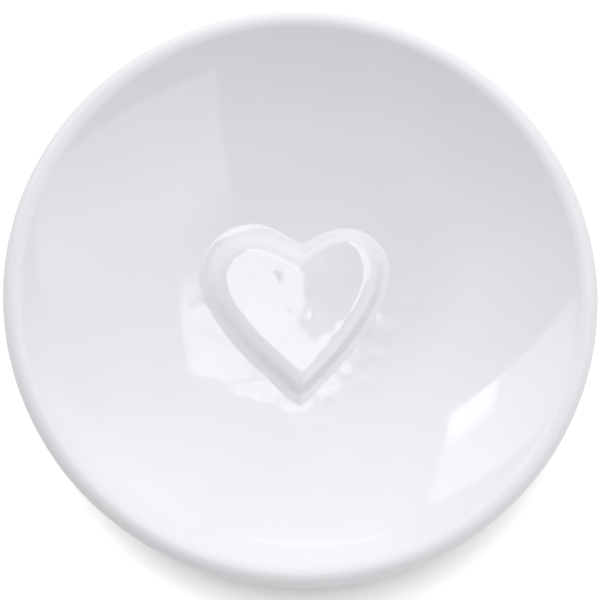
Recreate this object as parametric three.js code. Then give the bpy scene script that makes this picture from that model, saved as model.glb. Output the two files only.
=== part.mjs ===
// Round ceramic soap dish with a raised heart on the floor of its bowl.
// Millimetres, +Z up. The origin is on the dish's axis, in the plane that the foot ring stands on.

import * as THREE from "three";

// Bowl, turned about the Z axis
const DISH_DIAMETER = 120;
const BOWL_DEPTH = 15; // from the top of the lip down to the middle of the floor
const FLOOR_THICKNESS = 4.5; // at the middle
const LIP_OUTER_RADIUS = 2.2; // rounding of the lip outside its crest
const LIP_INNER_RADIUS = 3.2; // and inside its crest
const WALL_ANGLE = 35; // degrees above level, where the wall runs into the lip

// Foot ring, under the floor
const FOOT_DIAMETER = 69;
const FOOT_WIDTH = 6;
const FOOT_HEIGHT = 5;
const FOOT_EDGE_RADIUS = 1.5; // rounding beside the standing face
const FOOT_HOLLOW = 4.5; // reach of the hollow curve from the foot out to the wall

// Heart pad, luted on the floor. Its middle lies slightly left and in front of the axis
const HEART_OFFSET_X = -0.85;
const HEART_OFFSET_Y = -1.45;
const HEART_HEIGHT = 1.9; // middle of the pad's top above the middle of the floor
const HEART_EDGE = 0.3; // thickness of the pad at its outer edge
const LUTING_GAP = 0.3; // slip layer between the pad and the floor

// Outer edge of the pad, seen from above: places are from the pad's middle, with the tip towards -Y
const LEFT_LOBE_X = -8.7;
const LEFT_LOBE_Y = 7.6;
const LEFT_LOBE_WIDTH = 10.9;
const LEFT_LOBE_RISE = 11.9;
const RIGHT_LOBE_X = 10.5;
const RIGHT_LOBE_Y = 9;
const RIGHT_LOBE_WIDTH = 9.1;
const RIGHT_LOBE_RISE = 9.8;
const NOTCH_X = 1.2;
const NOTCH_Y = 15.3;
const TIP_X = 1.1;
const TIP_Y = -19.5;

// Plan width of the soft slope, from the outer edge in to the shoulder of the top
const LEFT_SIDE_SLOPE = 5.9;
const LEFT_TOP_SLOPE = 6.7;
const RIGHT_SIDE_SLOPE = 5.7;
const RIGHT_TOP_SLOPE = 3.9;
const NOTCH_SLOPE = 6.5;
const TIP_SLOPE = 7.7;

// The slope is an even ramp with a steep band in it. The band's middle and width are shares of its width
const RAMP_SHARE = 0.7; // share of the height that the ramp climbs
const LEFT_BAND = 0.45;
const LEFT_BAND_WIDTH = 0.46;
const RIGHT_BAND = 0.38;
const RIGHT_BAND_WIDTH = 0.32;
const SIDE_BLEND = 6; // distance either side of the pad's middle in which left turns into right

// The top is dished: it rises with the square of the distance from its middle. It also leans a little
const TOP_BEND_X = 0.0016; // mm per square mm
const TOP_BEND_Y = 0.002;
const TOP_LEAN_X = 0.019; // mm per mm, higher to the right
const TOP_LEAN_Y = -0.025; // and towards the tip

// Fullness of the heart's free curves, as shares of the distance that each one spans
const LIMB_FULLNESS = 0.31;
const TIP_FULLNESS = 0.4;
const SHOULDER_FULLNESS = 0.38;

// Fineness of the faceted solids
const TURN_STEPS = 72;
const WALL_STEPS = 9;
const LIP_STEPS = 6;
const HOLLOW_STEPS = 4;
const EDGE_STEPS = 4;
const CURVE_STEPS = 8;
const LIMB_STEPS = 12;
const SLOPE_STEPS = 10;
const CAP_STEPS = 3;

// Finish of the fired ware: gloss glaze, and the dry clay of the foot
const GLAZE_WHITE = 0xf0eff4;
const GLAZE_ROUGHNESS = 0.1;
const BISQUE_WHITE = 0xe6e1d8;
const BISQUE_ROUGHNESS = 0.7;

// Places that follow from the sizes above
const dishRadius = DISH_DIAMETER / 2;
const footRadius = FOOT_DIAMETER / 2;
const wallSlope = THREE.MathUtils.degToRad(WALL_ANGLE);
const floorZ = FOOT_HEIGHT + FLOOR_THICKNESS;
const rimZ = floorZ + BOWL_DEPTH;
const crestRadius = dishRadius - LIP_OUTER_RADIUS;
const lipThickness =
  LIP_INNER_RADIUS * (1 - Math.cos(wallSlope)) + LIP_OUTER_RADIUS * (1 + Math.cos(wallSlope));

// The inside of the bowl is a power curve that meets the lip at the wall's angle
const wallTop = new THREE.Vector2(
  crestRadius - LIP_INNER_RADIUS * Math.sin(wallSlope),
  rimZ - LIP_INNER_RADIUS * (1 - Math.cos(wallSlope)),
);
const bowlRise = wallTop.y - floorZ;
const bowlPower = (Math.tan(wallSlope) * wallTop.x) / bowlRise;

function bowlHeight(radius) {
  return floorZ + bowlRise * (radius / wallTop.x) ** bowlPower;
}

function bowlAngle(radius) {
  return Math.atan((bowlRise * bowlPower * (radius / wallTop.x) ** (bowlPower - 1)) / wallTop.x);
}

// The wall grows from the floor's thickness above the foot to the lip's thickness at the rim
function outsidePoint(radius) {
  const share = THREE.MathUtils.smoothstep(radius, footRadius, wallTop.x);
  const thickness = THREE.MathUtils.lerp(FLOOR_THICKNESS, lipThickness, share);
  const angle = bowlAngle(radius);
  const x = radius + thickness * Math.sin(angle);
  return new THREE.Vector2(x, bowlHeight(radius) - thickness * Math.cos(angle));
}

function evenSteps(from, to, count) {
  return Array.from({ length: count + 1 }, (_, step) => THREE.MathUtils.lerp(from, to, step / count));
}

// Turns a profile of radius and height about the Z axis
function turned(profile) {
  const geometry = new THREE.LatheGeometry(profile, TURN_STEPS);
  geometry.rotateX(Math.PI / 2);
  return geometry;
}

function dishBodyGeometry() {
  const hollowStart = new THREE.Vector2(footRadius, FOOT_HEIGHT);
  const outside = evenSteps(footRadius + FOOT_HOLLOW, wallTop.x, WALL_STEPS).map(outsidePoint);
  const hollowEnd = outside[0];
  const climb = Math.tan(bowlAngle(footRadius + FOOT_HOLLOW)) * (hollowEnd.x - footRadius);
  const hollowPull = new THREE.Vector2(footRadius, hollowEnd.y - climb);
  const hollow = new THREE.QuadraticBezierCurve(hollowStart, hollowPull, hollowEnd);
  const quarter = Math.PI / 2;
  const outerLip = new THREE.EllipseCurve(
    crestRadius,
    rimZ - LIP_OUTER_RADIUS,
    LIP_OUTER_RADIUS,
    LIP_OUTER_RADIUS,
    wallSlope - quarter,
    quarter,
  );
  const innerLip = new THREE.EllipseCurve(
    crestRadius,
    rimZ - LIP_INNER_RADIUS,
    LIP_INNER_RADIUS,
    LIP_INNER_RADIUS,
    quarter,
    quarter + wallSlope,
  );
  const inside = evenSteps(wallTop.x, 0, 2 * WALL_STEPS).map((r) => new THREE.Vector2(r, bowlHeight(r)));
  return turned([
    new THREE.Vector2(0, FOOT_HEIGHT),
    ...hollow.getPoints(HOLLOW_STEPS).slice(0, -1),
    ...outside,
    ...outerLip.getPoints(LIP_STEPS).slice(0, -1),
    ...innerLip.getPoints(LIP_STEPS).slice(0, -1),
    ...inside,
  ]);
}

function footRingGeometry() {
  const insideRadius = footRadius - FOOT_WIDTH;
  const quarter = Math.PI / 2;
  const innerEdge = new THREE.EllipseCurve(
    insideRadius + FOOT_EDGE_RADIUS,
    FOOT_EDGE_RADIUS,
    FOOT_EDGE_RADIUS,
    FOOT_EDGE_RADIUS,
    2 * quarter,
    3 * quarter,
  );
  const outerEdge = new THREE.EllipseCurve(
    footRadius - FOOT_EDGE_RADIUS,
    FOOT_EDGE_RADIUS,
    FOOT_EDGE_RADIUS,
    FOOT_EDGE_RADIUS,
    3 * quarter,
    4 * quarter,
  );
  const insideTop = new THREE.Vector2(insideRadius, FOOT_HEIGHT);
  return turned([
    insideTop,
    ...innerEdge.getPoints(EDGE_STEPS),
    ...outerEdge.getPoints(EDGE_STEPS),
    new THREE.Vector2(footRadius, FOOT_HEIGHT),
    insideTop,
  ]);
}

// Outline of the heart, anticlockwise from the notch: inset 0 is the outer edge and 1 is the shoulder
function heartOutline(inset) {
  const leftWidth = LEFT_LOBE_WIDTH - inset * LEFT_SIDE_SLOPE;
  const leftRise = LEFT_LOBE_RISE - inset * LEFT_TOP_SLOPE;
  const rightWidth = RIGHT_LOBE_WIDTH - inset * RIGHT_SIDE_SLOPE;
  const rightRise = RIGHT_LOBE_RISE - inset * RIGHT_TOP_SLOPE;
  const notch = new THREE.Vector2(NOTCH_X, NOTCH_Y - inset * NOTCH_SLOPE);
  const tip = new THREE.Vector2(TIP_X, TIP_Y + inset * TIP_SLOPE);
  const leftTop = new THREE.Vector2(LEFT_LOBE_X, LEFT_LOBE_Y + leftRise);
  const leftSide = new THREE.Vector2(LEFT_LOBE_X - leftWidth, LEFT_LOBE_Y);
  const rightTop = new THREE.Vector2(RIGHT_LOBE_X, RIGHT_LOBE_Y + rightRise);
  const rightSide = new THREE.Vector2(RIGHT_LOBE_X + rightWidth, RIGHT_LOBE_Y);
  const quarter = Math.PI / 2;

  // From the notch up to the top of a lobe, which it meets level
  const rise = (top) => {
    const levelPull = new THREE.Vector2(THREE.MathUtils.lerp(top.x, notch.x, SHOULDER_FULLNESS), top.y);
    const notchPull = notch.clone().lerp(levelPull, SHOULDER_FULLNESS);
    return new THREE.CubicBezierCurve(notch, notchPull, levelPull, top);
  };
  // From the side of a lobe, which it leaves upright, down to the tip
  const limb = (side) => {
    const uprightPull = new THREE.Vector2(side.x, THREE.MathUtils.lerp(side.y, tip.y, LIMB_FULLNESS));
    const tipPull = tip.clone().lerp(uprightPull, TIP_FULLNESS);
    return new THREE.CubicBezierCurve(side, uprightPull, tipPull, tip);
  };
  const leftLobe = new THREE.EllipseCurve(
    LEFT_LOBE_X, LEFT_LOBE_Y, leftWidth, leftRise, quarter, 2 * quarter,
  );
  const rightLobe = new THREE.EllipseCurve(
    RIGHT_LOBE_X, RIGHT_LOBE_Y, rightWidth, rightRise, 0, quarter,
  );
  const forward = (curve, steps) => curve.getPoints(steps).slice(0, -1);
  const backward = (curve, steps) => curve.getPoints(steps).reverse().slice(0, -1);
  return [
    ...forward(rise(leftTop), CURVE_STEPS),
    ...forward(leftLobe, CURVE_STEPS),
    ...forward(limb(leftSide), LIMB_STEPS),
    ...backward(limb(rightSide), LIMB_STEPS),
    ...forward(rightLobe, CURVE_STEPS),
    ...backward(rise(rightTop), CURVE_STEPS),
  ];
}

// Skins a run of rings with the same number of points, and closes both ends on a middle point
function closedLoft(firstMiddle, rings, lastMiddle) {
  const count = rings[0].length;
  const points = [firstMiddle, ...rings.flat(), lastMiddle];
  const last = points.length - 1;
  const at = (ring, step) => 1 + ring * count + (step % count);
  const faces = [];
  for (let step = 0; step < count; step += 1) {
    faces.push(0, at(0, step + 1), at(0, step));
    for (let ring = 0; ring + 1 < rings.length; ring += 1) {
      const next = ring + 1;
      faces.push(at(ring, step), at(ring, step + 1), at(next, step + 1));
      faces.push(at(ring, step), at(next, step + 1), at(next, step));
    }
    faces.push(last, at(rings.length - 1, step), at(rings.length - 1, step + 1));
  }
  const geometry = new THREE.BufferGeometry().setFromPoints(points);
  geometry.setIndex(faces);
  geometry.computeVertexNormals();
  return geometry;
}

// Middle of the pad's top
const heartMiddle = new THREE.Vector2(
  (NOTCH_X + TIP_X) / 2,
  (NOTCH_Y - NOTCH_SLOPE + TIP_Y + TIP_SLOPE) / 2,
);

function heartTop(point) {
  const across = point.x - heartMiddle.x;
  const along = point.y - heartMiddle.y;
  const dish = TOP_BEND_X * across ** 2 + TOP_BEND_Y * along ** 2;
  return floorZ + HEART_HEIGHT + dish + TOP_LEAN_X * across + TOP_LEAN_Y * along;
}

// Share of the height that the slope has reached, at this inset from the outer edge
function heartClimb(point, inset) {
  const side = THREE.MathUtils.smoothstep(point.x, heartMiddle.x - SIDE_BLEND, heartMiddle.x + SIDE_BLEND);
  const band = THREE.MathUtils.lerp(LEFT_BAND, RIGHT_BAND, side);
  const halfWidth = THREE.MathUtils.lerp(LEFT_BAND_WIDTH, RIGHT_BAND_WIDTH, side) / 2;
  const steep = THREE.MathUtils.smoothstep(inset, band - halfWidth, band + halfWidth);
  return THREE.MathUtils.lerp(steep, inset, RAMP_SHARE);
}

function heartReliefGeometry() {
  const underside = (point) => {
    const radius = Math.hypot(point.x + HEART_OFFSET_X, point.y + HEART_OFFSET_Y);
    return bowlHeight(radius) + LUTING_GAP;
  };
  const placed = (point, z) => new THREE.Vector3(point.x + HEART_OFFSET_X, point.y + HEART_OFFSET_Y, z);
  const shrunk = (outline, share) => outline.map((point) => heartMiddle.clone().lerp(point, share));
  const capShares = evenSteps(1 / CAP_STEPS, 1, CAP_STEPS - 1);

  const edge = heartOutline(0);
  const bottomRings = capShares.map((share) =>
    shrunk(edge, share).map((point) => placed(point, underside(point))),
  );
  const slopeRings = evenSteps(0, 1, SLOPE_STEPS).map((inset) =>
    heartOutline(inset).map((point) => {
      const low = underside(point) + HEART_EDGE;
      return placed(point, THREE.MathUtils.lerp(low, heartTop(point), heartClimb(point, inset)));
    }),
  );
  const shoulder = heartOutline(1);
  const topRings = capShares.slice(0, -1).reverse().map((share) =>
    shrunk(shoulder, share).map((point) => placed(point, heartTop(point))),
  );
  return closedLoft(
    placed(heartMiddle, underside(heartMiddle)),
    [...bottomRings, ...slopeRings, ...topRings],
    placed(heartMiddle, heartTop(heartMiddle)),
  );
}

function named(name, geometry, color, roughness) {
  const material = new THREE.MeshStandardMaterial({ color, roughness, metalness: 0 });
  const mesh = new THREE.Mesh(geometry, material);
  mesh.name = name;
  return mesh;
}

const soapDish = new THREE.Group();
soapDish.add(
  named("dish_body", dishBodyGeometry(), GLAZE_WHITE, GLAZE_ROUGHNESS),
  named("heart_relief", heartReliefGeometry(), GLAZE_WHITE, GLAZE_ROUGHNESS),
  named("foot_ring", footRingGeometry(), BISQUE_WHITE, BISQUE_ROUGHNESS),
);

export default soapDish;
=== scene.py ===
import math

import bpy
import numpy as np
from mathutils import Matrix, Vector


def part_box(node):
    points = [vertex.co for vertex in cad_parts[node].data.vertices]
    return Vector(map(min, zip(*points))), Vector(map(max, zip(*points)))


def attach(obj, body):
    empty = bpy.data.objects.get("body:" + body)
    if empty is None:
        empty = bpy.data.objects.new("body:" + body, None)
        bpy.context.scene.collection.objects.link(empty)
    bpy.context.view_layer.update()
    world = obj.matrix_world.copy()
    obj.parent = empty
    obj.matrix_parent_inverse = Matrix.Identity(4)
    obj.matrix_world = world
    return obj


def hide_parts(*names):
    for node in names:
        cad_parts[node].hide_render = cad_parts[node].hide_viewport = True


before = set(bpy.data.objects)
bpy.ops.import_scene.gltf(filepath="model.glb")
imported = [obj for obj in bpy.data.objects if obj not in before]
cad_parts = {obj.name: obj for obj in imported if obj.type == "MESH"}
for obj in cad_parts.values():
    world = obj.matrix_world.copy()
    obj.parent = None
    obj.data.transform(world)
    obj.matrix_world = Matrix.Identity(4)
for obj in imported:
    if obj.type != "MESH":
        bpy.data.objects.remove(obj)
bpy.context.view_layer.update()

# Everything is in metres, in the frame of the CAD solids
MM = 0.001

# Sizes that the solids give
DISH_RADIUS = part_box("dish_body")[1].x
RIM_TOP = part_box("dish_body")[1].z
FOOT_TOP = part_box("dish_body")[0].z
FOOT_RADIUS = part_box("foot_ring")[1].x

# Sizes of the turned ware that a box doesn't give
FLOOR_THICKNESS = 4.5 * MM
LIP_OUTER_RADIUS = 2.2 * MM
LIP_INNER_RADIUS = 3.2 * MM
WALL_ANGLE = math.radians(35)
FOOT_WIDTH = 6 * MM
FOOT_EDGE_RADIUS = 1.5 * MM
FOOT_HOLLOW = 4.5 * MM

# Heart pad: places from its middle, and plan widths of its slope
HEART_OFFSET = np.array([-0.85, -1.45]) * MM
HEART_HEIGHT = 1.9 * MM
HEART_SINK = 0.25 * MM
LEFT_LOBE = np.array([-8.7, 7.6]) * MM
LEFT_LOBE_SPAN = np.array([10.9, 11.9]) * MM
LEFT_LOBE_SLOPE = np.array([5.9, 6.7]) * MM
RIGHT_LOBE = np.array([10.5, 9.0]) * MM
RIGHT_LOBE_SPAN = np.array([9.1, 9.8]) * MM
RIGHT_LOBE_SLOPE = np.array([5.7, 3.9]) * MM
NOTCH = np.array([1.2, 15.3]) * MM
NOTCH_SLOPE = 6.5 * MM
TIP = np.array([1.1, -19.5]) * MM
TIP_SLOPE = 7.7 * MM
LIMB_FULLNESS = 0.31
TIP_FULLNESS = 0.4
SHOULDER_FULLNESS = 0.38

# The slope is an even ramp with a steep band in it: the band's middle and width, as shares of the slope's
RAMP_SHARE = 0.7
TOE_EASE = 0.05
EASE_LEFT = 0.25
EASE_RIGHT = 0.5
BAND_LEFT = np.array([0.45, 0.46])
BAND_RIGHT = np.array([0.38, 0.32])
SIDE_BLEND = 6 * MM

# The top is dished, per metre, and leans a little
TOP_BEND = np.array([1.6, 2.0])
TOP_LEAN = np.array([0.019, -0.025])

# Small dents in the top, in millimetres: place from the heart's middle, radius and depth
DENTS = (
    (-5.1, 9.6, 1.0, 0.04),
    (-3.0, 2.4, 0.9, 0.012),
    (2.3, 1.4, 0.7, 0.016),
    (-9.2, 6.8, 1.8, 0.012),
    (9.45, -1.1, 1.8, 0.05),
    (7.0, -4.4, 1.8, 0.08),
    (4.4, -7.5, 1.8, 0.05),
)

# Unevenness of the floor round the heart: broad and fine plane waves of random direction, length and start
HAND_SEED = 25
HAND_WAVES = 14
HAND_LENGTHS = np.array([5, 10]) * MM
HAND_HEIGHT = 0.05 * MM
FINE_SEED = 1221
FINE_LENGTHS = np.array([2.5, 4.5]) * MM
FINE_HEIGHT = 0.012 * MM
HAND_REACH = 12 * MM
HAND_FADE = np.array([-2, 6]) * MM
HAND_ON_TOP = 0.12

# Fineness of the meshes
TURN_STEPS = 288
WALL_STEPS = 60
LIP_STEPS = 30
HOLLOW_STEPS = 14
EDGE_STEPS = 10
CURVE_STEPS = 32
LIMB_STEPS = 60
SLOPE_STEPS = 36
CAP_STEPS = 40
CORNER_PASSES = 10
UNDERSIDE_RINGS = (0.35, 0.7, 1.0)
SHARP_ANGLE = math.radians(50)

# Camera of the photograph, fitted to the rim's outline
CAMERA_AZIMUTH = math.radians(-9.206)
CAMERA_ELEVATION = math.radians(75.27)
CAMERA_DISTANCE = 0.8
CAMERA_TARGET = Vector((0.19, 1.48, 12.0)) * MM
SENSOR_WIDTH_MM = 36.0
FOCAL_LENGTH_MM = 235.2
CLIP_NEAR = 0.01
CLIP_FAR = 20

# Glaze: colours where it pools, a darker lip colour that is painted shade, roughness, and sizes and heights
# of its unevenness
GLAZE_DEEP = (0.755, 0.75, 0.785)
GLAZE_PALE = (0.785, 0.777, 0.8)
LIP_PAINTED_SHADE = (0.75, 0.745, 0.765)
GLAZE_IOR = 1.5
GLAZE_ROUGHNESS = (0.04, 0.09)
LIP_ROUGHNESS = 0.3
WORKED_ROUGHNESS = 0.06
CLOUD_SIZE = 22 * MM
CLOUD_DETAIL = 2.0
CLOUD_RANGE = (0.35, 0.65)
PALE_SHARE = 0.6
WAVE_SIZE = 7 * MM
WAVE_HEIGHT = 0.012 * MM
WAVE_DETAIL = 1.0
RIPPLE_SIZE = 1.8 * MM
RIPPLE_HEIGHT = 0.002 * MM
PEEL_SIZE = 0.5 * MM
PEEL_HEIGHT = 0.0004 * MM

# Dry clay of the standing face, and the line where the glaze was wiped back
CLAY_DARK = (0.6, 0.56, 0.5)
CLAY_PALE = (0.76, 0.73, 0.68)
GRAIN_SIZE = 0.35 * MM
GRAIN_HEIGHT = 0.05 * MM
GRAIN_DETAIL = 3.0
CLAY_ROUGHNESS = 0.75
FOOT_GLAZE_ROUGHNESS = 0.07
GLAZE_LINE = 0.5 * MM
GLAZE_EDGE = 0.25 * MM
GLAZE_WANDER = 0.25 * MM
WANDER_DETAIL = 2.0

# The range that most values of a noise lie in
NOISE_RANGE = (0.3, 0.7)

# The floor is lifted to white for the camera, and the lift fades out in a round painted shadow under the
# dish, where the floor keeps its own level
WHITE = (1, 1, 1, 1)
FLOOR_COLOUR = (0.92, 0.92, 0.92, 1)
FLOOR_ROUGHNESS = 0.9
FLOOR_HALF = 3.0
FLOOR_LIFT = 0.48
PAINTED_SHADOW_MIDDLE = Vector((3, -6, 0)) * MM
PAINTED_SHADOW_INNER = 50 * MM
PAINTED_SHADOW_OUTER = 58 * MM

# Light levels, where 1 is a white card in plain light
AMBIENT = 0.47
BACK_GLOW = 1.18
GLOW_ELEVATION = math.radians(40)
GLOW_POWER = 2.0
SKY_TINT = (1.0, 0.983, 1.0)
OVERHEAD = 4.0
WING = 2.8
SIDE = 1.18
WINDOW = 1.52
PANE = 2.6
FAR_PANEL = 0.52
STRIP = 1.0
FILL = 0.46

# The dark part of the room, round the camera: its middle, and how wide it is at its darkest and at its edge
DARK_TOWARDS = (-0.06, 0.06, 1.0)
DARK_INNER = math.radians(12)
DARK_OUTER = math.radians(25)

# Soft boxes above the dish: middle, width, depth, turn in degrees, level, and share that fades at the back
PANEL_HEIGHT = 1.01
PANEL_GAP = 0.005
PANELS = (
    ("overhead", (0.05, 0.335), 0.1, 0.27, 0.0, OVERHEAD, 0.0),
    ("wing", (0.21, 0.335), 0.22, 0.27, 0.0, WING, 0.0),
    ("side", (1.113, -0.039), 1.7, 1.05, 19.1, SIDE, 0.35),
    ("window", (-1.4, 1.34), 1.5, 1.42, 10.7, WINDOW, 0.0),
    ("pane", (-0.722, 0.924), 0.3, 0.36, 10.7, PANE, 0.5),
    ("far_panel", (1.759, 2.199), 1.5, 1.5, 10.0, FAR_PANEL, 0.0),
    ("strip", (0.0, 2.97), 1.2, 0.28, 0.0, STRIP, 0.0),
)

# A low card in front: its middle, and its width and height
FILL_PLACE = (0.0, -1.5, 0.3)
FILL_SIZE = (3.0, 0.6)


# Shape of the turned ware

FLOOR_Z = FOOT_TOP + FLOOR_THICKNESS
CREST_RADIUS = DISH_RADIUS - LIP_OUTER_RADIUS
WALL_TOP = np.array([
    CREST_RADIUS - LIP_INNER_RADIUS * math.sin(WALL_ANGLE),
    RIM_TOP - LIP_INNER_RADIUS * (1 - math.cos(WALL_ANGLE)),
])
LIP_THICKNESS = (
    LIP_INNER_RADIUS * (1 - math.cos(WALL_ANGLE)) + LIP_OUTER_RADIUS * (1 + math.cos(WALL_ANGLE))
)
BOWL_RISE = WALL_TOP[1] - FLOOR_Z
BOWL_POWER = math.tan(WALL_ANGLE) * WALL_TOP[0] / BOWL_RISE


def bowl_height(radius):
    return FLOOR_Z + BOWL_RISE * (radius / WALL_TOP[0]) ** BOWL_POWER


def bowl_angle(radius):
    return np.arctan(BOWL_RISE * BOWL_POWER * (radius / WALL_TOP[0]) ** (BOWL_POWER - 1) / WALL_TOP[0])


def smoothstep(share):
    share = np.clip(share, 0, 1)
    return share * share * (3 - 2 * share)


def outside_points(radius):
    share = smoothstep((radius - FOOT_RADIUS) / (WALL_TOP[0] - FOOT_RADIUS))
    thickness = FLOOR_THICKNESS + (LIP_THICKNESS - FLOOR_THICKNESS) * share
    angle = bowl_angle(radius)
    across = radius + thickness * np.sin(angle)
    height = bowl_height(radius) - thickness * np.cos(angle)
    return np.column_stack([across, height])


def arc(centre, radius, start, end, steps):
    turn = np.linspace(start, end, steps + 1)
    return np.asarray(centre) + radius * np.column_stack([np.cos(turn), np.sin(turn)])


def quadratic(start, pull, end, steps):
    t = np.linspace(0, 1, steps + 1)[:, None]
    return start * (1 - t) ** 2 + 2 * pull * t * (1 - t) + end * t ** 2


def cubic(start, first_pull, second_pull, end, steps):
    t = np.linspace(0, 1, steps + 1)[:, None]
    first_half = start * (1 - t) ** 3 + 3 * first_pull * t * (1 - t) ** 2
    second_half = 3 * second_pull * t ** 2 * (1 - t) + end * t ** 3
    return first_half + second_half


def mesh_object(name, points, faces, material):
    mesh = bpy.data.meshes.new(name)
    mesh.from_pydata([tuple(p) for p in points], [], faces)
    mesh.update()
    mesh.polygons.foreach_set("use_smooth", [True] * len(mesh.polygons))
    mesh.set_sharp_from_angle(angle=SHARP_ANGLE)
    mesh.materials.append(material)
    piece = bpy.data.objects.new(name, mesh)
    bpy.context.scene.collection.objects.link(piece)
    return piece


def turned(name, profile, closed, material):
    """A profile of radius and height turned about Z: closed on itself, or from the axis to the axis."""
    steps = TURN_STEPS
    turn = np.linspace(0, 2 * math.pi, steps, endpoint=False)
    ring_profile = profile if closed else profile[1:-1]
    points = [(r * math.cos(a), r * math.sin(a), z) for r, z in ring_profile for a in turn]
    rings = len(ring_profile)
    faces = []
    pairs = [(k, (k + 1) % rings) for k in range(rings if closed else rings - 1)]
    for low, high in pairs:
        for s in range(steps):
            n = (s + 1) % steps
            faces.append((low * steps + s, low * steps + n, high * steps + n, high * steps + s))
    if not closed:
        first, last = len(points), len(points) + 1
        points += [(0, 0, profile[0][1]), (0, 0, profile[-1][1])]
        for s in range(steps):
            n = (s + 1) % steps
            faces.append((first, n, s))
            faces.append((last, (rings - 1) * steps + s, (rings - 1) * steps + n))
    return mesh_object(name, points, faces, material)


def dish_profile():
    hollow_start = np.array([FOOT_RADIUS, FOOT_TOP])
    outside = outside_points(np.linspace(FOOT_RADIUS + FOOT_HOLLOW, WALL_TOP[0], WALL_STEPS + 1))
    climb = math.tan(bowl_angle(FOOT_RADIUS + FOOT_HOLLOW)) * (outside[0][0] - FOOT_RADIUS)
    pull = np.array([FOOT_RADIUS, outside[0][1] - climb])
    hollow = quadratic(hollow_start, pull, outside[0], HOLLOW_STEPS)
    quarter = math.pi / 2
    outer_centre = (CREST_RADIUS, RIM_TOP - LIP_OUTER_RADIUS)
    inner_centre = (CREST_RADIUS, RIM_TOP - LIP_INNER_RADIUS)
    outer_lip = arc(outer_centre, LIP_OUTER_RADIUS, WALL_ANGLE - quarter, quarter, LIP_STEPS)
    inner_lip = arc(inner_centre, LIP_INNER_RADIUS, quarter, WALL_ANGLE + quarter, LIP_STEPS)
    radii = np.linspace(WALL_TOP[0], 0, 2 * WALL_STEPS + 1)
    inside = np.column_stack([radii, bowl_height(radii)])
    return np.vstack([
        [(0, FOOT_TOP)], hollow[:-1], outside, outer_lip[:-1], inner_lip[:-1], inside,
    ])


def foot_profile():
    inner = FOOT_RADIUS - FOOT_WIDTH
    edge = FOOT_EDGE_RADIUS
    inner_edge = arc((inner + edge, edge), edge, math.pi, 1.5 * math.pi, EDGE_STEPS)
    outer_edge = arc((FOOT_RADIUS - edge, edge), edge, 1.5 * math.pi, 2 * math.pi, EDGE_STEPS)
    return np.vstack([[(inner, FOOT_TOP)], inner_edge, outer_edge, [(FOOT_RADIUS, FOOT_TOP)]])


# Shape of the heart pad

def heart_outline(inset):
    """Outline from the notch, anticlockwise: inset 0 is the outer edge and 1 is the shoulder."""
    left = LEFT_LOBE_SPAN - inset * LEFT_LOBE_SLOPE
    right = RIGHT_LOBE_SPAN - inset * RIGHT_LOBE_SLOPE
    notch = NOTCH - inset * np.array([0, NOTCH_SLOPE])
    tip = TIP + inset * np.array([0, TIP_SLOPE])

    def rise(top):
        level_pull = np.array([top[0] + (notch[0] - top[0]) * SHOULDER_FULLNESS, top[1]])
        notch_pull = notch + (level_pull - notch) * SHOULDER_FULLNESS
        return cubic(notch, notch_pull, level_pull, top, CURVE_STEPS)

    def limb(side):
        upright_pull = np.array([side[0], side[1] + (tip[1] - side[1]) * LIMB_FULLNESS])
        tip_pull = tip + (upright_pull - tip) * TIP_FULLNESS
        return cubic(side, upright_pull, tip_pull, tip, LIMB_STEPS)

    quarter = math.pi / 2
    left_lobe = LEFT_LOBE + (arc((0, 0), 1, quarter, 2 * quarter, CURVE_STEPS) * left)
    right_lobe = RIGHT_LOBE + (arc((0, 0), 1, 0, quarter, CURVE_STEPS) * right)
    outline = np.vstack([
        rise(left_lobe[0])[:-1],
        left_lobe[:-1],
        limb(left_lobe[-1])[:-1],
        limb(right_lobe[0])[::-1][:-1],
        right_lobe[:-1],
        rise(right_lobe[-1])[::-1][:-1],
    ])
    for _ in range(CORNER_PASSES):
        outline = (np.roll(outline, 1, axis=0) + 2 * outline + np.roll(outline, -1, axis=0)) / 4
    return outline + HEART_OFFSET


HEART_MIDDLE = HEART_OFFSET + np.array([
    (NOTCH[0] + TIP[0]) / 2,
    (NOTCH[1] - NOTCH_SLOPE + TIP[1] + TIP_SLOPE) / 2,
])


def hand_waves(plan, seed, lengths, height):
    chance = np.random.default_rng(seed)
    turn = chance.uniform(0, 2 * math.pi, HAND_WAVES)
    length = chance.uniform(*lengths, HAND_WAVES)
    start = chance.uniform(0, 2 * math.pi, HAND_WAVES)
    along = 2 * math.pi / length * np.array([np.cos(turn), np.sin(turn)])
    return height * math.sqrt(2 / HAND_WAVES) * np.sin(plan @ along + start).sum(axis=1)


def broad_waves(plan):
    return hand_waves(plan, HAND_SEED, HAND_LENGTHS, HAND_HEIGHT)


def fine_waves(plan):
    return hand_waves(plan, FINE_SEED, FINE_LENGTHS, FINE_HEIGHT)


def uneven_floor(plan):
    """Height of the unevenness of the floor, which is gone behind the heart's middle."""
    behind = smoothstep((plan[:, 1] - HAND_FADE[0]) / (HAND_FADE[1] - HAND_FADE[0]))
    return (1 - behind) * (broad_waves(plan) + fine_waves(plan))


def heart_top(plan):
    """Height of the dished top, which leans a little, is slightly uneven and has a few small dents."""
    away = plan - HEART_MIDDLE
    z = FLOOR_Z + HEART_HEIGHT + (TOP_BEND * away ** 2).sum(axis=1) + away @ TOP_LEAN
    z = z + HAND_ON_TOP * broad_waves(plan)
    for x, y, radius, depth in DENTS:
        apart = np.hypot(away[:, 0] - x * MM, away[:, 1] - y * MM) / (radius * MM)
        z = z - depth * MM * np.exp(-apart ** 2)
    return z


def eased_ramp(share, ease):
    """An even climb from 0 to 1 that starts level, and ends level over this share of it."""
    start = share ** 2 / (2 * TOE_EASE)
    middle = share - TOE_EASE / 2
    rise = 1 - (TOE_EASE + ease) / 2
    end = rise - (1 - share) ** 2 / (2 * ease)
    return np.where(share < TOE_EASE, start, np.where(share > 1 - ease, end, middle)) / rise


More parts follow.
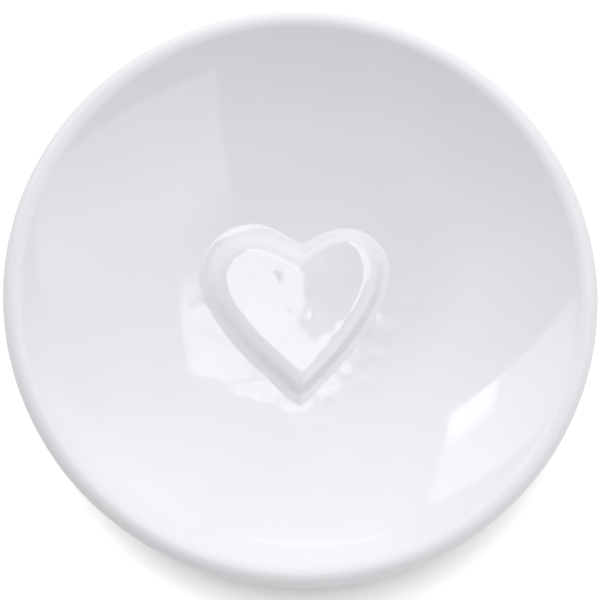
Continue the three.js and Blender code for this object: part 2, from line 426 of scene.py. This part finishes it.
def heart_climb(plan, inset):
    """Share of the height that the slope has reached, at this inset from the outer edge."""
    side = smoothstep((plan[:, 0] - HEART_MIDDLE[0]) / SIDE_BLEND / 2 + 0.5)
    band, width = BAND_LEFT[:, None] + (BAND_RIGHT - BAND_LEFT)[:, None] * side
    steep = smoothstep((inset - band) / width + 0.5)
    ramp_climb = eased_ramp(inset, EASE_LEFT + (EASE_RIGHT - EASE_LEFT) * side)
    return RAMP_SHARE * ramp_climb + (1 - RAMP_SHARE) * steep


def heart_points():
    def floor_under(plan):
        return bowl_height(np.hypot(plan[:, 0], plan[:, 1])) + uneven_floor(plan)

    edge = heart_outline(0)
    rings = []
    for share in UNDERSIDE_RINGS:
        plan = HEART_MIDDLE + (edge - HEART_MIDDLE) * share
        rings.append(np.column_stack([plan, floor_under(plan) - HEART_SINK]))
    for inset in np.linspace(0, 1, SLOPE_STEPS + 1):
        plan = heart_outline(inset)
        floor = floor_under(plan)
        rise = (heart_top(plan) - floor) * heart_climb(plan, inset)
        rings.append(np.column_stack([plan, floor + rise]))
    shoulder = heart_outline(1)
    for share in np.linspace(1, 0, CAP_STEPS + 1)[1:-1]:
        plan = HEART_MIDDLE + (shoulder - HEART_MIDDLE) * share
        rings.append(np.column_stack([plan, heart_top(plan)]))
    middle = HEART_MIDDLE[None, :]
    first = (*HEART_MIDDLE, floor_under(middle)[0] - HEART_SINK)
    last = (*HEART_MIDDLE, heart_top(middle)[0])
    return first, rings, last


def heart_piece(name, material):
    first, rings, last = heart_points()
    count = len(rings[0])
    points = [first, *np.vstack(rings), last]
    end = len(points) - 1
    faces = []
    for s in range(count):
        n = (s + 1) % count
        faces.append((0, 1 + n, 1 + s))
        for k in range(len(rings) - 1):
            low, high = 1 + k * count, 1 + (k + 1) * count
            faces.append((low + s, low + n, high + n, high + s))
        top = 1 + (len(rings) - 1) * count
        faces.append((end, top + s, top + n))
    return mesh_object(name, points, faces, material)


# Hand work on the dish

def places(piece):
    spots = np.empty(3 * len(piece.data.vertices), dtype=np.float32)
    piece.data.vertices.foreach_get("co", spots)
    return spots.reshape(-1, 3).astype(float)


def mark_lip(piece):
    """Marks the lip, where the glaze runs thinner and less glossy and where a darker colour is painted as
    shade.
    """
    spots = places(piece)
    radius = np.hypot(spots[:, 0], spots[:, 1])
    over_wall = smoothstep((radius - WALL_TOP[0] + LIP_INNER_RADIUS / 2) / LIP_INNER_RADIUS)
    near_top = smoothstep((spots[:, 2] - RIM_TOP + 2 * LIP_THICKNESS) / LIP_THICKNESS)
    layer = piece.data.attributes.new("thin_glaze_and_painted_shade", "FLOAT", "POINT")
    layer.data.foreach_set("value", (over_wall * near_top).astype(np.float32))


def work_floor(piece):
    """Leaves the floor round the heart uneven, as the hand left it."""
    spots = places(piece)
    radius = np.hypot(spots[:, 0], spots[:, 1])
    near = np.flatnonzero((radius < FOOT_RADIUS) & (spots[:, 2] > FLOOR_Z - FLOOR_THICKNESS / 2))
    gaps = spots[near, None, :2] - heart_outline(0)[None]
    apart = np.hypot(gaps[..., 0], gaps[..., 1]).min(axis=1)
    worked = 1 - smoothstep(apart / HAND_REACH)
    spots[near, 2] += worked * uneven_floor(spots[near, :2])
    piece.data.vertices.foreach_set("co", spots.ravel())
    piece.data.update()
    shares = np.zeros(len(spots), dtype=np.float32)
    shares[near] = worked
    layer = piece.data.attributes.new("worked_floor", "FLOAT", "POINT")
    layer.data.foreach_set("value", shares)


# Materials

def new_material(name):
    material = bpy.data.materials.new(name)
    material.use_nodes = True
    nodes = material.node_tree.nodes
    return material, nodes, material.node_tree.links, nodes["Principled BSDF"]


def noise(nodes, links, size, detail=0.0):
    """Even noise in the dish's own coordinates, with features of about this size in metres."""
    coords = nodes.new("ShaderNodeTexCoord")
    texture = nodes.new("ShaderNodeTexNoise")
    texture.inputs["Scale"].default_value = 1 / size
    texture.inputs["Detail"].default_value = detail
    links.new(coords.outputs["Object"], texture.inputs["Vector"])
    return texture.outputs["Fac"]


def attribute(nodes, name):
    node = nodes.new("ShaderNodeAttribute")
    node.attribute_name = name
    return node.outputs["Fac"]


def ramp(nodes, links, value, low, high, start=0.0, end=1.0):
    """The value's range from start to end, taken to low and high."""
    node = nodes.new("ShaderNodeMapRange")
    node.inputs["From Min"].default_value = start
    node.inputs["From Max"].default_value = end
    node.inputs["To Min"].default_value = low
    node.inputs["To Max"].default_value = high
    links.new(value, node.inputs["Value"])
    return node.outputs["Result"]


def combine(nodes, links, operation, first, second):
    node = nodes.new("ShaderNodeMath")
    node.operation = operation
    links.new(first, node.inputs[0])
    links.new(second, node.inputs[1])
    return node.outputs[0]


def colours(nodes, links, share, first, second):
    """A mix of two colours, each a constant or another node's output, through the node's colour sockets."""
    node = nodes.new("ShaderNodeMix")
    node.data_type = "RGBA"
    for colour, socket in ((first, node.inputs[6]), (second, node.inputs[7])):
        if isinstance(colour, tuple):
            socket.default_value = (*colour, 1)
        else:
            links.new(colour, socket)
    links.new(share, node.inputs["Factor"])
    return node.outputs[2]


def relief(nodes, links, shader, height):
    """Raises the shaded surface by a height in metres."""
    bump = nodes.new("ShaderNodeBump")
    bump.inputs["Distance"].default_value = 1.0
    links.new(height, bump.inputs["Height"])
    links.new(bump.outputs["Normal"], shader.inputs["Normal"])


def glaze_material():
    material, nodes, links, shader = new_material("white_glaze")
    lip_glaze_and_shade = attribute(nodes, "thin_glaze_and_painted_shade")
    cloud = noise(nodes, links, CLOUD_SIZE, CLOUD_DETAIL)
    pale = ramp(nodes, links, cloud, 0.0, PALE_SHARE, *CLOUD_RANGE)
    coat = colours(nodes, links, pale, GLAZE_DEEP, GLAZE_PALE)
    # The lip takes a darker colour, which is painted shade, and its thinner glaze is rougher
    links.new(colours(nodes, links, lip_glaze_and_shade, coat, LIP_PAINTED_SHADE), shader.inputs["Base Color"])
    shader.inputs["IOR"].default_value = GLAZE_IOR
    unevenness = noise(nodes, links, WAVE_SIZE, WAVE_DETAIL)
    gloss = ramp(nodes, links, unevenness, *GLAZE_ROUGHNESS, *NOISE_RANGE)
    lip = ramp(nodes, links, lip_glaze_and_shade, 0.0, LIP_ROUGHNESS)
    worked = ramp(nodes, links, attribute(nodes, "worked_floor"), 0.0, WORKED_ROUGHNESS)
    rough = combine(nodes, links, "ADD", combine(nodes, links, "ADD", gloss, lip), worked)
    links.new(rough, shader.inputs["Roughness"])
    waves = ramp(nodes, links, noise(nodes, links, WAVE_SIZE), 0.0, WAVE_HEIGHT)
    ripples = ramp(nodes, links, noise(nodes, links, RIPPLE_SIZE), 0.0, RIPPLE_HEIGHT)
    peel = ramp(nodes, links, noise(nodes, links, PEEL_SIZE), 0.0, PEEL_HEIGHT)
    height = combine(nodes, links, "ADD", combine(nodes, links, "ADD", waves, ripples), peel)
    relief(nodes, links, shader, height)
    return material


def foot_material():
    """Glaze down the sides of the foot, and dry clay on the face that it stands on."""
    material, nodes, links, shader = new_material("glaze_and_dry_clay")
    coords = nodes.new("ShaderNodeTexCoord")
    split = nodes.new("ShaderNodeSeparateXYZ")
    links.new(coords.outputs["Object"], split.inputs[0])
    drift = noise(nodes, links, WAVE_SIZE, WANDER_DETAIL)
    wander = ramp(nodes, links, drift, -GLAZE_WANDER, GLAZE_WANDER)
    level = combine(nodes, links, "ADD", split.outputs["Z"], wander)
    glazed = ramp(nodes, links, level, 0.0, 1.0, GLAZE_LINE, GLAZE_LINE + GLAZE_EDGE)
    grain = ramp(nodes, links, noise(nodes, links, GRAIN_SIZE, GRAIN_DETAIL), 0.0, 1.0, *NOISE_RANGE)
    clay = colours(nodes, links, grain, CLAY_DARK, CLAY_PALE)
    links.new(colours(nodes, links, glazed, clay, GLAZE_DEEP), shader.inputs["Base Color"])
    shader.inputs["IOR"].default_value = GLAZE_IOR
    rough = ramp(nodes, links, glazed, CLAY_ROUGHNESS, FOOT_GLAZE_ROUGHNESS)
    links.new(rough, shader.inputs["Roughness"])
    grain_height = ramp(nodes, links, glazed, GRAIN_HEIGHT, 0.0)
    relief(nodes, links, shader, combine(nodes, links, "MULTIPLY", grain, grain_height))
    return material


# Stage

def floor():
    half = FLOOR_HALF
    points = [(-half, -half, 0), (half, -half, 0), (half, half, 0), (-half, half, 0)]
    material, nodes, links, shader = new_material("pale_floor")
    shader.inputs["Base Color"].default_value = FLOOR_COLOUR
    shader.inputs["Roughness"].default_value = FLOOR_ROUGHNESS
    shader.inputs["Specular IOR Level"].default_value = 0.0
    coords = nodes.new("ShaderNodeTexCoord")
    away = nodes.new("ShaderNodeVectorMath")
    away.operation = "DISTANCE"
    away.inputs[1].default_value = PAINTED_SHADOW_MIDDLE
    links.new(coords.outputs["Object"], away.inputs[0])
    # The lift fades to nothing under the dish, which leaves a round painted shadow there
    lift_outside_painted_shadow = ramp(nodes, links, away.outputs["Value"], 0.0, FLOOR_LIFT, PAINTED_SHADOW_INNER, PAINTED_SHADOW_OUTER)
    path = nodes.new("ShaderNodeLightPath")
    shown = combine(nodes, links, "MULTIPLY", path.outputs["Is Camera Ray"], lift_outside_painted_shadow)
    shader.inputs["Emission Color"].default_value = WHITE
    links.new(shown, shader.inputs["Emission Strength"])
    piece = mesh_object("floor", points, [(0, 1, 2, 3)], material)


def sky():
    world = bpy.data.worlds.new("studio")
    bpy.context.scene.world = world
    world.use_nodes = True
    nodes, links = world.node_tree.nodes, world.node_tree.links
    nodes.clear()
    coords = nodes.new("ShaderNodeTexCoord")

    def nearness(direction):
        node = nodes.new("ShaderNodeVectorMath")
        node.operation = "DOT_PRODUCT"
        node.inputs[1].default_value = Vector(direction).normalized()
        links.new(coords.outputs["Generated"], node.inputs[0])
        return node.outputs["Value"]

    glow = nodes.new("ShaderNodeMath")
    glow.operation = "POWER"
    glow.inputs[1].default_value = GLOW_POWER
    to_glow = nearness((0, math.cos(GLOW_ELEVATION), math.sin(GLOW_ELEVATION)))
    links.new(ramp(nodes, links, to_glow, 0.0, 1.0), glow.inputs[0])
    level = ramp(nodes, links, glow.outputs[0], AMBIENT, AMBIENT + BACK_GLOW)
    dark = ramp(nodes, links, nearness(DARK_TOWARDS), 1.0, 0.0, math.cos(DARK_OUTER), math.cos(DARK_INNER))
    light = nodes.new("ShaderNodeBackground")
    light.inputs["Color"].default_value = (*SKY_TINT, 1)
    links.new(combine(nodes, links, "MULTIPLY", level, dark), light.inputs["Strength"])
    white = nodes.new("ShaderNodeBackground")
    white.inputs["Color"].default_value = WHITE
    path = nodes.new("ShaderNodeLightPath")
    mix = nodes.new("ShaderNodeMixShader")
    out = nodes.new("ShaderNodeOutputWorld")
    links.new(path.outputs["Is Camera Ray"], mix.inputs["Fac"])
    links.new(light.outputs[0], mix.inputs[1])
    links.new(white.outputs[0], mix.inputs[2])
    links.new(mix.outputs[0], out.inputs["Surface"])


def fade_back(data, share):
    """Lets a lamp's light fall off towards its back edge, over this share of its depth."""
    data.use_nodes = True
    nodes, links = data.node_tree.nodes, data.node_tree.links
    spot = nodes.new("ShaderNodeNewGeometry")
    split = nodes.new("ShaderNodeSeparateXYZ")
    links.new(spot.outputs["Parametric"], split.inputs[0])
    level = ramp(nodes, links, split.outputs["Y"], 1.0, 0.0, 1 - share, 1.0)
    links.new(level, nodes["Emission"].inputs["Strength"])


def soft_box(name, place, turn, width, depth, radiance, fade):
    """A soft box of this radiance, which the camera doesn't see. Unturned, it faces down."""
    data = bpy.data.lights.new(name, "AREA")
    data.shape = "RECTANGLE"
    data.size, data.size_y = width, depth
    data.energy = radiance * math.pi * width * depth
    if fade:
        fade_back(data, fade)
    lamp = bpy.data.objects.new(name, data)
    bpy.context.scene.collection.objects.link(lamp)
    lamp.location = place
    lamp.rotation_euler = turn
    lamp.visible_camera = False


def lights():
    sky()
    for layer, (name, middle, width, depth, turn, radiance, fade) in enumerate(PANELS):
        place = (*middle, PANEL_HEIGHT - layer * PANEL_GAP)
        soft_box(name, place, (0, 0, math.radians(turn)), width, depth, radiance, fade)
    soft_box("front_fill", FILL_PLACE, (math.pi / 2, 0, 0), *FILL_SIZE, FILL, 0.0)


def camera():
    azimuth, elevation = CAMERA_AZIMUTH, CAMERA_ELEVATION
    back = Vector((
        math.sin(azimuth) * math.cos(elevation),
        -math.cos(azimuth) * math.cos(elevation),
        math.sin(elevation),
    ))
    right = Vector((0, 1, 0)).cross(back).normalized()
    up = back.cross(right)
    data = bpy.data.cameras.new("camera")
    data.sensor_width = SENSOR_WIDTH_MM
    data.lens = FOCAL_LENGTH_MM
    data.clip_start, data.clip_end = CLIP_NEAR, CLIP_FAR
    eye = bpy.data.objects.new("camera", data)
    bpy.context.scene.collection.objects.link(eye)
    place = Matrix((right, up, back)).transposed().to_4x4()
    place.translation = CAMERA_TARGET + back * CAMERA_DISTANCE
    eye.matrix_world = place
    bpy.context.scene.camera = eye


camera()
glaze = glaze_material()
bare_foot = foot_material()

dish = turned("dish", dish_profile(), False, glaze)
mark_lip(dish)
work_floor(dish)
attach(dish, "root")
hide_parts("dish_body")

heart = heart_piece("heart", glaze)
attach(heart, "root")
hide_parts("heart_relief")

foot = turned("foot", foot_profile(), True, bare_foot)
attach(foot, "root")
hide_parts("foot_ring")

floor()
lights()

bpy.context.scene.view_settings.view_transform = "Standard"
